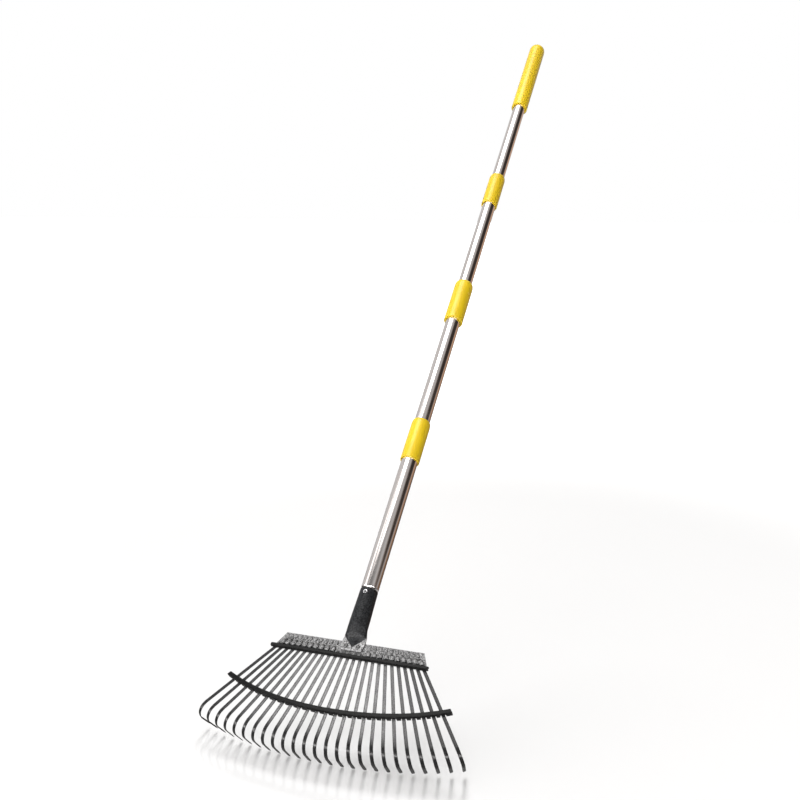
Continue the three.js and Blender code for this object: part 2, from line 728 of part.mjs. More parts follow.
const head = new THREE.Group();
head.rotation.x = deg(HEAD_SLOPE);
head.add(tines(), clampChannel(), spreader(), headPlate(), socket());
rivetSpots().forEach((spot, index) => head.add(rivet(index, spot)));
head.add(pole);

// the rake stands on z = 0, with the origin under the middle of its length and width
const rake = new THREE.Group();
rake.add(head);
const extent = new THREE.Box3().setFromObject(rake, true);
head.position.y = -(extent.min.y + extent.max.y) / 2;
head.position.z = -extent.min.z;

export default rake;
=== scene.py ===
"""Leaf rake with a telescoping steel pole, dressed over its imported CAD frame.

Lengths are millimetres in two working frames, and every finished mesh is metres in the frame that
the CAD model stands in.  In the head frame +Y runs up the head along its middle tine and +Z is its
upper side, with the origin where that tine leaves the clamp channel.  In the pole frame +Y is the
pole's axis and the origin is at the mouth of the socket.
"""
import json

import bpy
import numpy as np
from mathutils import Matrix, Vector


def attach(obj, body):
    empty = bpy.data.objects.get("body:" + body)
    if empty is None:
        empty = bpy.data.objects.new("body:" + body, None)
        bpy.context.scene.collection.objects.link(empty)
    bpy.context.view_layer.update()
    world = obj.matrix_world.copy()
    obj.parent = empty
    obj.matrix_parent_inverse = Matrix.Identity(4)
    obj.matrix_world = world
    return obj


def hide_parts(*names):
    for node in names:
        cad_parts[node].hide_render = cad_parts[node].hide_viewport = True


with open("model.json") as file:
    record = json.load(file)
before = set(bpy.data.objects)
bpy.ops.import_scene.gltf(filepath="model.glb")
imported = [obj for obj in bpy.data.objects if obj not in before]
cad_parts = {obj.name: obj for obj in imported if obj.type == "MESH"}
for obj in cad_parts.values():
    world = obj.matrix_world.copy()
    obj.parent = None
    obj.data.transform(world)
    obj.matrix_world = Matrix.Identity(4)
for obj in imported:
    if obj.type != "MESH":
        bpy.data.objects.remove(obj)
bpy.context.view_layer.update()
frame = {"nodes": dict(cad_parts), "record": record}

MM = 0.001

# ------------------------------------------------------------------ sizes, as in the part's source
HEAD_SLOPE = np.radians(31.9)
POLE_RISE = np.radians(10.2)
SEAT_GAP = 0.3

TINES = 25
HALF_TINES = (TINES - 1) / 2
TINE_PITCH = 9.5
TINE_WIDTH = 5.0
TINE_THICK = 1.2
TINE_REACH = 149.0
TINE_TRIM = 3.4
TAIL_REACH = 15.2
TAIL_REACH_SHORT = 9.6
HOOK_LENGTH = 44.0
HOOK_BEND = np.radians(101)
HOOK_RADIUS = 20.0
FAN_ANGLE = np.radians(31.5)
FAN_FLARE = np.radians(4.8)
FAN_DISH = 0.1

PLATE_THICK = 1.2
PLATE_TOP = 27.5
PLATE_HALF_TOP = HALF_TINES * TINE_PITCH - 7.5
PLATE_HALF_LOW = HALF_TINES * TINE_PITCH + 3.5
LOOP_LOW, LOOP_HIGH = 6.4, 12.8
LOOP_WALL = 1.0
SLOT_LOW, SLOT_HIGH = 13.2, 16.8
SLOT_HALF = 2.3
RIB_LOW, RIB_HIGH = 18.0, 25.2
RIB_HALF = 2.6
RIB_HEIGHT = 1.6

CLAMP_HALF = HALF_TINES * TINE_PITCH + 7
CLAMP_WIDTH = 5.2
CLAMP_LOW = -1.6
CLAMP_CROWN = 5.6

SPREADER_REACH = 87.6
SPREADER_SWEEP = 16.3
SPREADER_WIDTH = 6.6
SPREADER_CROWN = 5.0
SPREADER_DROP = 3.5
SPREADER_OVERHANG = 1.0
CHANNEL_THICK = 1.2
NOTCH_SIDE = 0.9

SOCKET_LENGTH = 94.0
SOCKET_AXIS_HEIGHT = 0.5
SOCKET_AXIS_FOOT = 14.35
SOCKET_RADIUS = 13.3
SOCKET_WALL = 1.7
SOCKET_BORE_DEPTH = 50.0
SOCKET_HALF_WIDE = 17.8
SOCKET_WAIST = 15.0
FOOT_LOW = 11.6
FOOT_HALF = 15.5
FOOT_THICK = 2.2
RIVET_SPAN = 18.4
RIVET_PLACE = 18.6
RIVET_SHANK = 2.0
RIVET_HEAD = 3.3
SCREW_PLACE = 8.0
SCREW_SHANK = 1.6
SCREW_HEAD = 3.4

TUBE_RADIUS = 13.2
TUBE_WALL = 0.3
SLIDE_GAP = 0.15
TUBE_OVERLAP = 50.0
NECK_DEPTH = 48.0
COLLAR_SEAT = (232.8, 531.0, 826.0)
COLLAR_LENGTH = (78.3, 90.0, 79.4)
COLLAR_RADIUS = (15.6, 16.6, 15.1)
COLLAR_WALL = 1.2
COLLET_INSET = 30.0
GRIP_SEAT = 1116.3
GRIP_LENGTH = 204.7
GRIP_RADIUS = 15.9
GRIP_DOME = 13.0
GRIP_FLAT = 6.0
GRIP_CAP = 18.0

# ------------------------------------------------------------------ frames
mounts = {m["name"]: m for m in frame["record"]["mounts"]}
axis = np.array(mounts["grip_end"]["axis"], float)
axis /= np.linalg.norm(axis)
POLE_UP = np.array([0.0, -axis[2], axis[1]])
MOUTH = np.array(mounts["grip_end"]["pos_m"]) - axis * (GRIP_SEAT + GRIP_LENGTH) * MM

HEAD_ALONG = np.array([0.0, np.cos(HEAD_SLOPE), np.sin(HEAD_SLOPE)])
HEAD_UP = np.array([0.0, -np.sin(HEAD_SLOPE), np.cos(HEAD_SLOPE)])
MOUTH_ALONG = SOCKET_AXIS_FOOT + SOCKET_LENGTH * np.cos(POLE_RISE)


def axis_height(y):
    """The pole axis above the head's plane: its height at the foot, plus the rise times the way on."""
    return SOCKET_AXIS_HEIGHT + (y - SOCKET_AXIS_FOOT) * np.tan(POLE_RISE)


SEAM = MOUTH - (HEAD_ALONG * MOUTH_ALONG + HEAD_UP * axis_height(MOUTH_ALONG)) * MM


def from_head(points):
    """Head-frame millimetres to model metres: the seam plus each coordinate along its direction."""
    p = np.asarray(points, float) * MM
    return SEAM + p[..., :1] * [1, 0, 0] + p[..., 1:2] * HEAD_ALONG + p[..., 2:3] * HEAD_UP


def from_pole(points):
    """Pole-frame millimetres to model metres: the mouth plus each coordinate along its direction."""
    p = np.asarray(points, float) * MM
    return MOUTH + p[..., :1] * [1, 0, 0] + p[..., 1:2] * axis + p[..., 2:3] * POLE_UP


# ------------------------------------------------------------------ mesh building
def ease(low, high, value):
    """0 below low, 1 above high, and 3t^2 - 2t^3 of the share t of the way in between."""
    t = np.clip((value - low) / (high - low), 0, 1)
    return t * t * (3 - 2 * t)


def grid_quads(rows, columns, wrap):
    """Quads of a grid of points row by row, whose last column joins its first when wrap is set."""
    r = np.arange(rows - 1)[:, None]
    c = np.arange(columns if wrap else columns - 1)[None, :]
    d = (c + 1) % columns
    quads = np.stack([r * columns + c, r * columns + d, (r + 1) * columns + d, (r + 1) * columns + c], -1)
    return quads.reshape(-1, 4)


def make_piece(name, points, faces, material, body, replaced, smooth=35.0, uv=None, tone=None):
    """A mesh object from model points and faces of vertex numbers, riding on a CAD body in place
    of the replaced nodes.

    smooth is the angle in degrees above which an edge stays sharp, and tone is an optional value for each
    point, by which its material mixes in painted sheen and painted shade."""
    mesh = bpy.data.meshes.new(name)
    mesh.from_pydata(points.tolist(), [], faces)
    mesh.update()
    if uv is not None:
        layer = mesh.uv_layers.new(name="surface")
        loops = np.zeros(len(mesh.loops), int)
        mesh.loops.foreach_get("vertex_index", loops)
        layer.data.foreach_set("uv", uv[loops].ravel())
    if tone is not None:
        values = mesh.attributes.new("tone", "FLOAT", "POINT").data
        values.foreach_set("value", np.asarray(tone, float).ravel())
    obj = bpy.data.objects.new(name, mesh)
    bpy.context.scene.collection.objects.link(obj)
    mesh.shade_smooth()
    mesh.set_sharp_from_angle(angle=np.radians(smooth))
    obj.data.materials.append(material)
    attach(obj, body)
    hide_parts(*replaced)


def swept(sections):
    """A closed skin over section rings of shape (stations, points, 3), with a cap over each end."""
    stations, count = sections.shape[:2]
    faces = grid_quads(stations, count, True).tolist()
    faces.append(tuple(range(count))[::-1])
    last = (stations - 1) * count
    faces.append(tuple(range(last, last + count)))
    return sections.reshape(-1, 3), faces


def turned(profile, sides):
    """Profile of (radius, height) turned about +Y: x = r cos a, z = r sin a.

    A profile that starts off the axis closes on itself, and one that starts on the axis ends on
    it too, with a fan of triangles round each pole."""
    profile = np.asarray(profile, float)
    rows = len(profile)
    radius, height = profile[:, :1], profile[:, 1:]
    angle = np.linspace(0, 2 * np.pi, sides, endpoint=False)
    turns = np.broadcast_arrays(radius * np.cos(angle), height, radius * np.sin(angle))
    points = np.stack(turns, -1).reshape(-1, 3)
    here = np.arange(sides)
    beside = (here + 1) % sides
    if profile[0, 0] > 0:
        last = (rows - 1) * sides
        closing = np.stack([last + here, last + beside, beside, here], -1)
        return points, np.concatenate([grid_quads(rows, sides, True), closing]).tolist()
    last = 1 + (rows - 3) * sides
    points = np.concatenate([points[:1], points[sides:-sides], points[-1:]])
    first_fan = np.stack([0 * here, 1 + beside, 1 + here], -1)
    last_fan = np.stack([last + here, last + beside, 0 * here + len(points) - 1], -1)
    return points, first_fan.tolist() + (1 + grid_quads(rows - 2, sides, True)).tolist() + last_fan.tolist()


def rounded_corner(centre, radius, start, end, steps=5):
    """Points of an arc: centre plus radius times (cos a, sin a), a from start to end in degrees."""
    a = np.radians(np.linspace(start, end, steps))
    return np.stack([centre[0] + radius * np.cos(a), centre[1] + radius * np.sin(a)], -1)


def rounded_bar(width, thick, radius, steps=4):
    """A rectangle's outline with round corners, anticlockwise from its right side."""
    w, t = width / 2 - radius, thick / 2 - radius
    return np.concatenate([
        rounded_corner((w, t), radius, 0, 90, steps),
        rounded_corner((-w, t), radius, 90, 180, steps),
        rounded_corner((-w, -t), radius, 180, 270, steps),
        rounded_corner((w, -t), radius, 270, 360, steps),
    ])


# ------------------------------------------------------------------ materials
def node_group(name, inputs, outputs):
    """A shader node group with named number inputs and outputs, and its two end nodes."""
    group = bpy.data.node_groups.new(name, "ShaderNodeTree")
    for label, value in inputs.items():
        socket = group.interface.new_socket(label, in_out="INPUT", socket_type="NodeSocketFloat")
        socket.default_value = value
    for label in outputs:
        group.interface.new_socket(label, in_out="OUTPUT", socket_type="NodeSocketFloat")
    return group, group.nodes.new("NodeGroupInput"), group.nodes.new("NodeGroupOutput")


def link(tree, source, target):
    """Join an output socket to an input socket."""
    tree.links.new(source, target)


def maths(tree, operation, a, b):
    """A Math node over two sockets or numbers, giving its result socket."""
    node = tree.nodes.new("ShaderNodeMath")
    node.operation = operation
    for slot, value in zip(node.inputs, (a, b)):
        if isinstance(value, (int, float)):
            slot.default_value = value
        else:
            link(tree, value, slot)
    return node.outputs[0]


def ramped(tree, value, low, high, from_low=0.0, from_high=1.0, smooth=False):
    """A clamped Map Range from [from_low, from_high] to [low, high], eased at both ends if smooth."""
    node = tree.nodes.new("ShaderNodeMapRange")
    link(tree, value, node.inputs["Value"])
    node.inputs["From Min"].default_value = from_low
    node.inputs["From Max"].default_value = from_high
    node.inputs["To Min"].default_value = low
    node.inputs["To Max"].default_value = high
    if smooth:
        node.interpolation_type = "SMOOTHSTEP"
    return node.outputs["Result"]


def build_grain():
    """Two sizes of noise on object coordinates: fine speckle, and slow clouding for wear and dust."""
    inputs = {"Speckle Size": 900.0, "Cloud Size": 30.0}
    group, entry, leave = node_group("finish_grain", inputs, ("Speckle", "Cloud"))
    where = group.nodes.new("ShaderNodeTexCoord")
    for label, detail in (("Speckle", 3.0), ("Cloud", 4.0)):
        noise = group.nodes.new("ShaderNodeTexNoise")
        noise.inputs["Detail"].default_value = detail
        noise.inputs["Roughness"].default_value = 0.6
        link(group, where.outputs["Object"], noise.inputs["Vector"])
        link(group, entry.outputs[label + " Size"], noise.inputs["Scale"])
        link(group, noise.outputs["Fac"], leave.inputs[label])
    return group


def build_wear():
    """Edge wear: the mesh's convex edges by pointedness, broken up by noise, 0 in the open to 1 worn."""
    inputs = {"Amount": 0.5, "Break Size": 200.0}
    group, entry, leave = node_group("edge_wear", inputs, ("Mask",))
    geometry = group.nodes.new("ShaderNodeNewGeometry")
    where = group.nodes.new("ShaderNodeTexCoord")
    noise = group.nodes.new("ShaderNodeTexNoise")
    noise.inputs["Detail"].default_value = 3.0
    link(group, where.outputs["Object"], noise.inputs["Vector"])
    link(group, entry.outputs["Break Size"], noise.inputs["Scale"])
    edge = ramped(group, geometry.outputs["Pointiness"], 0.0, 1.0, 0.53, 0.62)
    broken = ramped(group, noise.outputs["Fac"], 0.0, 1.0, 0.42, 0.6)
    worn = maths(group, "MULTIPLY", edge, broken)
    link(group, maths(group, "MULTIPLY", worn, entry.outputs["Amount"]), leave.inputs["Mask"])
    return group


GRAIN = build_grain()
WEAR = build_wear()


def place_group(tree, group, **values):
    """A node that uses a group with its own input values, named with _ for each space."""
    node = tree.nodes.new("ShaderNodeGroup")
    node.node_tree = group
    for label, value in values.items():
        node.inputs[label.replace("_", " ")].default_value = value
    return node


def colour_mix(tree, factor, first, second):
    """A colour between first and second by factor; each may be a socket or a plain colour."""
    node = tree.nodes.new("ShaderNodeMix")
    node.data_type = "RGBA"
    link(tree, factor, node.inputs[0])
    for slot, value in ((node.inputs[6], first), (node.inputs[7], second)):
        if isinstance(value, tuple):
            slot.default_value = (*value, 1.0)
        else:
            link(tree, value, slot)
    return node.outputs[2]


def bumped(tree, height, strength, distance, shader):
    """Raise the shader's normal by a height, whose full swing is distance metres."""
    node = tree.nodes.new("ShaderNodeBump")
    node.inputs["Strength"].default_value = strength
    node.inputs["Distance"].default_value = distance
    link(tree, height, node.inputs["Height"])
    link(tree, node.outputs["Normal"], shader.inputs["Normal"])


def new_material(name):
    """A material with its node tree and its Principled shader."""
    material = bpy.data.materials.new(name)
    material.use_nodes = True
    tree = material.node_tree
    return material, tree, tree.nodes["Principled BSDF"]


def grey(value, blue=0.0):
    """A grey, made colder by a little more blue, or warmer by a little less."""
    return (value, value, value + blue)


def enamel(name, dark, light, rough, metal, speckle, relief, worn=(0.4, 0.39, 0.38), painted_shading_greys=None,
           painted_shading_metal=0.0, gloss=0.5):
    """Paint on steel: speckled between two greys, duller in clouds, worn pale on its edges.

    rough is the roughness from clear to clouded, speckle the noise scale and relief the strength of its bump.
    The second pair of greys, with its own metalness, is painted sheen and painted shade, which the mesh's
    tone value brings in."""
    material, tree, shader = new_material(name)
    grain = place_group(tree, GRAIN, Speckle_Size=speckle, Cloud_Size=45.0)
    wear = place_group(tree, WEAR, Amount=0.45, Break_Size=260.0)
    spots = ramped(tree, grain.outputs["Speckle"], 0.0, 1.0, 0.36, 0.64)
    base = colour_mix(tree, spots, dark, light)
    # the tone attribute brings in the painted sheen and painted shade greys
    if painted_shading_greys:
        tone = tree.nodes.new("ShaderNodeAttribute")
        tone.attribute_name = "tone"
        base = colour_mix(tree, tone.outputs["Fac"], base, colour_mix(tree, spots, *painted_shading_greys))
        link(tree, ramped(tree, tone.outputs["Fac"], metal, painted_shading_metal), shader.inputs["Metallic"])
    else:
        shader.inputs["Metallic"].default_value = metal
    link(tree, colour_mix(tree, wear.outputs["Mask"], base, worn), shader.inputs["Base Color"])
    link(tree, ramped(tree, grain.outputs["Cloud"], *rough, 0.3, 0.7), shader.inputs["Roughness"])
    shader.inputs["Specular IOR Level"].default_value = gloss
    bumped(tree, grain.outputs["Speckle"], relief, 0.0003, shader)
    return material


def stainless_steel():
    """Polished tube: smudges and fine lengthwise drawing lines in its roughness, and a warm tint."""
    material, tree, shader = new_material("polished_stainless")
    grain = place_group(tree, GRAIN, Speckle_Size=500.0, Cloud_Size=22.0)
    where = tree.nodes.new("ShaderNodeTexCoord")
    turn = tree.nodes.new("ShaderNodeMapping")
    turn.inputs["Rotation"].default_value = (-np.arctan2(axis[2], axis[1]), 0, 0)
    turn.inputs["Scale"].default_value = (1.0, 0.012, 1.0)
    link(tree, where.outputs["Object"], turn.inputs["Vector"])
    lines = tree.nodes.new("ShaderNodeTexNoise")
    lines.inputs["Scale"].default_value = 900.0
    lines.inputs["Detail"].default_value = 2.0
    link(tree, turn.outputs["Vector"], lines.inputs["Vector"])
    tint = ramped(tree, grain.outputs["Cloud"], 0.0, 1.0, 0.35, 0.7)
    steel = colour_mix(tree, tint, (0.94, 0.895, 0.875), (0.86, 0.80, 0.775))
    link(tree, steel, shader.inputs["Base Color"])
    shader.inputs["Metallic"].default_value = 1.0
    smudge = ramped(tree, grain.outputs["Cloud"], 0.10, 0.2, 0.3, 0.75)
    drawn = ramped(tree, lines.outputs["Fac"], -0.03, 0.03)
    link(tree, maths(tree, "ADD", smudge, drawn), shader.inputs["Roughness"])
    return material


def moulded_plastic(name, base, shade, rough, pit=0.0):
    """Moulded plastic: two near tones and a roughness in clouds, with surface pitting if pit is set."""
    material, tree, shader = new_material(name)
    grain = place_group(tree, GRAIN, Speckle_Size=420.0, Cloud_Size=14.0)
    tone = ramped(tree, grain.outputs["Cloud"], 0.0, 1.0, 0.3, 0.75)
    link(tree, colour_mix(tree, tone, base, shade), shader.inputs["Base Color"])
    link(tree, ramped(tree, grain.outputs["Cloud"], *rough, 0.3, 0.7), shader.inputs["Roughness"])
    shader.inputs["Specular IOR Level"].default_value = 0.5
    if pit:
        bumped(tree, grain.outputs["Speckle"], pit, 0.0001, shader)
    return material


# the tines' toned greys and metalness are a painted sheen on the blades
TINE_STEEL = enamel(
    "tine_enamel", grey(0.003), grey(0.02, 0.001), rough=(0.17, 0.27), metal=0.0, speckle=900.0,
    relief=0.3, painted_shading_greys=(grey(0.015), grey(0.17, 0.002)), painted_shading_metal=0.45, gloss=0.25)
# the plate is black paint: its light grey speckle is a painted sheen, and its toned greys are painted shade
# in the openings and on the steep sides of the relief
PLATE_STEEL = enamel(
    "plate_enamel", grey(0.015), grey(0.27, 0.002), rough=(0.32, 0.44), metal=0.4, speckle=620.0,
    relief=0.4, worn=grey(0.5, -0.01), painted_shading_greys=(grey(0.001), grey(0.004)), gloss=0.1)
CHANNEL_STEEL = enamel(
    "channel_enamel", grey(0.002), grey(0.006), rough=(0.2, 0.3), metal=0.0, speckle=1500.0,
    relief=0.2, worn=grey(0.12), gloss=0.1)
# the toned greys and metalness are a painted sheen on the socket foot's flat flanges
SOCKET_PAINT = enamel(
    "wrinkle_paint", grey(0.001), (0.024, 0.025, 0.027), rough=(0.3, 0.44), metal=0.0, speckle=480.0,
    relief=1.0, worn=grey(0.25, -0.01), painted_shading_greys=(grey(0.03), grey(0.34, 0.003)), painted_shading_metal=0.45,
    gloss=0.14)
RIVET_STEEL = enamel(
    "rivet_enamel", grey(0.05), grey(0.14), rough=(0.2, 0.3), metal=0.7, speckle=1300.0, relief=0.15)
# the zinc's toned greys are painted shade in the screw head's cross recess
ZINC = enamel(
    "bright_zinc", grey(0.74, 0.02), grey(0.86, 0.02), rough=(0.14, 0.26), metal=1.0, speckle=1200.0,
    relief=0.05, worn=grey(0.95), painted_shading_greys=(grey(0.01), grey(0.03)))
STAINLESS = stainless_steel()
YELLOW = moulded_plastic("yellow_moulding", (0.49, 0.345, 0.010), (0.43, 0.295, 0.008), rough=(0.2, 0.32))
DARK = moulded_plastic("dark_moulding", grey(0.03), grey(0.045), rough=(0.45, 0.6), pit=0.15)


# ------------------------------------------------------------------ tines
UP = np.array([0.0, 0.0, 1.0])      # the head frame's upper side
TAIL_STEPS, BLADE_STEPS, BEND_STEPS, HOOK_STEPS = 5, 15, 25, 7
EDGE_ROUND = 0.5


def tine_line(u):
    """Start, splay and drop at share u of the half fan: splay is linear plus cubic, drop is dish u^2."""
    start = np.stack([TINE_PITCH * HALF_TINES * u, 0 * u, 0 * u], -1)
    return start, FAN_ANGLE * u + FAN_FLARE * u ** 3, np.arctan(FAN_DISH * u * u)


def under_foot(i):
    """Whether the socket's foot covers the tail of tine i."""
    return abs(i) * TINE_PITCH - TINE_WIDTH / 2 < SOCKET_HALF_WIDE + SEAT_GAP


def tine_path(i):
    """Side view of tine i as (down the blade, above it): tail, blade, arc of the bend, hook.

    The arc has the hook's radius and runs tangent to the blade and to the hook, whose corner lies
    the reach away."""
    _, splay, drop = tine_line(i / HALF_TINES)
    tail = TAIL_REACH_SHORT if under_foot(i) else TAIL_REACH
    reach = TINE_REACH - TINE_TRIM * (i / HALF_TINES) ** 2
    tangent = HOOK_RADIUS * np.tan(HOOK_BEND / 2)

    def at(length, angle):
        """The point a length away in the direction that drops by an angle."""
        return np.array([np.cos(angle), -np.sin(angle)]) * length

    start = np.array([-tail / np.cos(splay), 0.0])
    begin = at(reach - tangent, drop)
    centre = begin + at(HOOK_RADIUS, drop + np.pi / 2)
    turn = drop + np.linspace(0, HOOK_BEND, BEND_STEPS)
    arc = centre + HOOK_RADIUS * np.stack([np.cos(turn - np.pi / 2), -np.sin(turn - np.pi / 2)], -1)
    tip = at(reach, drop) + at(HOOK_LENGTH, drop + HOOK_BEND)
    tail_part = start * np.linspace(1, 0, TAIL_STEPS)[:, None]
    blade = begin * np.linspace(0, 1, BLADE_STEPS)[1:, None]
    hook = arc[-1] + (tip - arc[-1]) * np.linspace(0, 1, HOOK_STEPS)[1:, None]
    return np.concatenate([tail_part, blade, arc[1:], hook])


def make_tine(i, number):
    """A flat spring strip: a rounded bar section carried along the side view, drawn in a little
    over the last 1.2 mm at both ends.

    Its tone is a painted sheen: 1 on the flat of the blade, less towards the fan's sides, and 0 on the edges,
    the tail and the hook."""
    start, splay, _ = tine_line(i / HALF_TINES)
    path = tine_path(i)
    run = np.gradient(path, axis=0)
    run /= np.linalg.norm(run, axis=1)[:, None]
    side = np.stack([-run[:, 1], run[:, 0]], -1)
    section = rounded_bar(TINE_WIDTH, TINE_THICK, EDGE_ROUND)
    length = np.concatenate([[0], np.cumsum(np.linalg.norm(np.diff(path, axis=0), axis=1))])
    ends = np.minimum(length, length[-1] - length)
    blade_end = length[TAIL_STEPS + BLADE_STEPS - 2]
    easing = 0.78 + 0.22 * ease(0, 1.2, ends)
    flat = np.array([np.sin(splay), -np.cos(splay), 0.0])
    across = np.array([np.cos(splay), np.sin(splay), 0.0])
    high = section[None, :, 1] * easing[:, None]
    wide = section[None, :, 0] * easing[:, None]
    along = path[:, None, 0] + side[:, None, 0] * high
    above = path[:, None, 1] + side[:, None, 1] * high
    points = start + along[..., None] * flat + above[..., None] * UP + wide[..., None] * across
    verts, faces = swept(from_head(points))
    uv = np.stack(np.broadcast_arrays(section[None, :, 0] / TINE_WIDTH + 0.5, length[:, None] * MM), -1)
    # painted sheen: strongest on the middle tines, fading towards the fan's sides
    painted_sheen_share = 1 - ease(0.25, 1.0, abs(i) / HALF_TINES)
    blade = ease(2, 12, length) * (1 - ease(blade_end - 14, blade_end - 2, length))
    on_flat = abs(section[None, :, 0]) < TINE_WIDTH / 2 - 0.3
    name = f"tine_{number:02d}"
    make_piece("flat_" + name, verts, faces, TINE_STEEL, "head", (name,), smooth=50,
               uv=uv.reshape(-1, 2), tone=(blade * painted_sheen_share)[:, None] * on_flat)


for number in range(1, TINES + 1):
    make_tine(number - 1 - HALF_TINES, number)


# ------------------------------------------------------------------ channels
def channel_section(width, crown, low, corner):
    """A rounded channel's outline, open side down: out and over the top, then back inside it.

    low holds the flanges' lower edge, one value for each station; the result is (stations, points, 2)."""
    t = CHANNEL_THICK
    w = width / 2
    bevel = 0.25
    fillet = 0.3
    outer = np.concatenate([
        rounded_corner((-w + corner, crown - corner), corner, 180, 90),
        [[-w * 0.1, crown - 0.12], [w * 0.1, crown - 0.12]],
        rounded_corner((w - corner, crown - corner), corner, 90, 0),
    ])
    inner = [[w - t, crown - t - fillet], [w - t - fillet, crown - t],
             [-w + t + fillet, crown - t], [-w + t, crown - t - fillet]]
    near_edge = [[-w + bevel, 0], [-w, bevel]]
    far_edge = [[w, bevel], [w - bevel, 0], [w - t, 0]]
    outline = np.concatenate([near_edge, outer, far_edge, inner, [[-w + t, 0]]])
    on_edge = np.repeat([1, 0, 1, 0, 1], [len(near_edge), len(outer), len(far_edge), len(inner), 1])
    stations = np.tile(outline, (len(low), 1, 1))
    stations[..., 1] += low[:, None] * on_edge
    return stations


def make_clamp():
    """The straight channel over the tines' roots: its section carried along X, drawn in at the ends."""
    corner = 1.2
    near_end = np.array([0.992, 0.9965, 1])
    x = np.concatenate([-near_end[::-1], np.linspace(-0.98, 0.98, 90), near_end]) * CLAMP_HALF
    low = TINE_THICK / 2 + SEAT_GAP
    section = channel_section(CLAMP_WIDTH, CLAMP_CROWN, np.full(len(x), low), corner)
    end = np.clip((CLAMP_HALF - abs(x)) / corner, 0, 1)
    pull = 0.72 + 0.28 * np.sqrt(1 - (1 - end) ** 2)
    middle = np.array([0.0, (CLAMP_CROWN + low) / 2])
    section = middle + (section - middle) * pull[:, None, None]
    centre = CLAMP_LOW + CLAMP_WIDTH / 2
    across = np.broadcast_to(x[:, None], section.shape[:2])
    points = np.stack([across, centre - section[..., 0], section[..., 1]], -1)
    verts, faces = swept(from_head(points))
    make_piece("clamp_bar", verts, faces, CHANNEL_STEEL, "head", ("clamp_channel",), smooth=40)


def make_spreader():
    """The curved channel: its section is carried across the fan, at a reach that falls with u^2, and
    the flanges are cut away wherever a tine runs beneath.

    The stations are taken from a fine row: every second one beside a notch, and every 24th one
    elsewhere."""
    end = 1 + SPREADER_OVERHANG / HALF_TINES
    u = np.linspace(-end, end, 3201)
    start, angle, drop = tine_line(u)
    flat = np.stack([np.sin(angle), -np.cos(angle), 0 * u], -1)
    along = flat * np.cos(drop)[:, None] - UP * np.sin(drop)[:, None]
    normal = flat * np.sin(drop)[:, None] + UP * np.cos(drop)[:, None]
    crossing = start + along * (SPREADER_REACH - SPREADER_SWEEP * u * u)[:, None]
    nearest = np.clip(np.round(u * HALF_TINES), -HALF_TINES, HALF_TINES)
    root, splay, _ = tine_line(nearest / HALF_TINES)
    away = crossing - root
    off = abs(away[:, 0] * np.cos(splay) + away[:, 1] * np.sin(splay))
    half = TINE_WIDTH / 2 + NOTCH_SIDE
    slope = 0.5
    open_low = TINE_THICK / 2 + SEAT_GAP
    low = open_low + (-SPREADER_DROP - open_low) * ease(half, half + slope, off)
    number = np.arange(len(u))
    at_notch = abs(off - half - slope / 2) < 0.45
    keep = np.where(at_notch, number % 2 == 0, (number % 24 == 0) | (number == len(u) - 1))
    section = channel_section(SPREADER_WIDTH, SPREADER_CROWN, low[keep], 1.1)
    forward, raised = section[..., :1], section[..., 1:]
    points = crossing[keep, None] + forward * along[keep, None] + raised * normal[keep, None]
    verts, faces = swept(from_head(points))
    make_piece("spreader_bar", verts, faces, CHANNEL_STEEL, "head", ("spreader_channel",), smooth=40)


make_clamp()
make_spreader()


# ------------------------------------------------------------------ head plate
def window(low, high, rise, fall, value):
    """0 outside and 1 between low and high, eased over rise at the low side and fall at the high.

    rise and fall are (start, end) pairs, measured from low and from high."""
    return ease(low + rise[0], low + rise[1], value) * (1 - ease(high + fall[0], high + fall[1], value))


def tail_relief(i, x, y):
    """The plate's lift and sink at points (x, y) over the tail of tine i.

    off is the distance from the tine's line, and way the Y of the nearest point on that line.  The
    lift is a lanced loop, a half ellipse across that the power 0.6 makes fuller, and a rib above
    it, a plain half ellipse; the sink is the opening between them."""
    _, splay, _ = tine_line(i / HALF_TINES)
    off = (x - TINE_PITCH * i) * np.cos(splay) + y * np.sin(splay)
    way = y - off * np.sin(splay)
    loop_half = TINE_WIDTH / 2 + SEAT_GAP + LOOP_WALL
    arch = np.sqrt(np.clip(1 - (off / loop_half) ** 2, 0, 1)) ** 0.6
    loop = arch * window(LOOP_LOW, LOOP_HIGH, (-0.5, 0.2), (0, 0.3), way)
    swell = np.sqrt(np.clip(1 - (off / RIB_HALF) ** 2, 0, 1))
    rib = swell * window(RIB_LOW, RIB_HIGH, (-0.4, 1.0), (-1.0, 0.4), way)
    lift = np.maximum(loop * (TINE_THICK + 2 * SEAT_GAP + LOOP_WALL), rib * RIB_HEIGHT)
    hole = 1 - ease(SLOT_HALF - 0.2, SLOT_HALF + 0.1, abs(off))
    return lift, hole * window(SLOT_LOW, SLOT_HIGH, (-0.1, 0.2), (-0.2, 0.1), way)


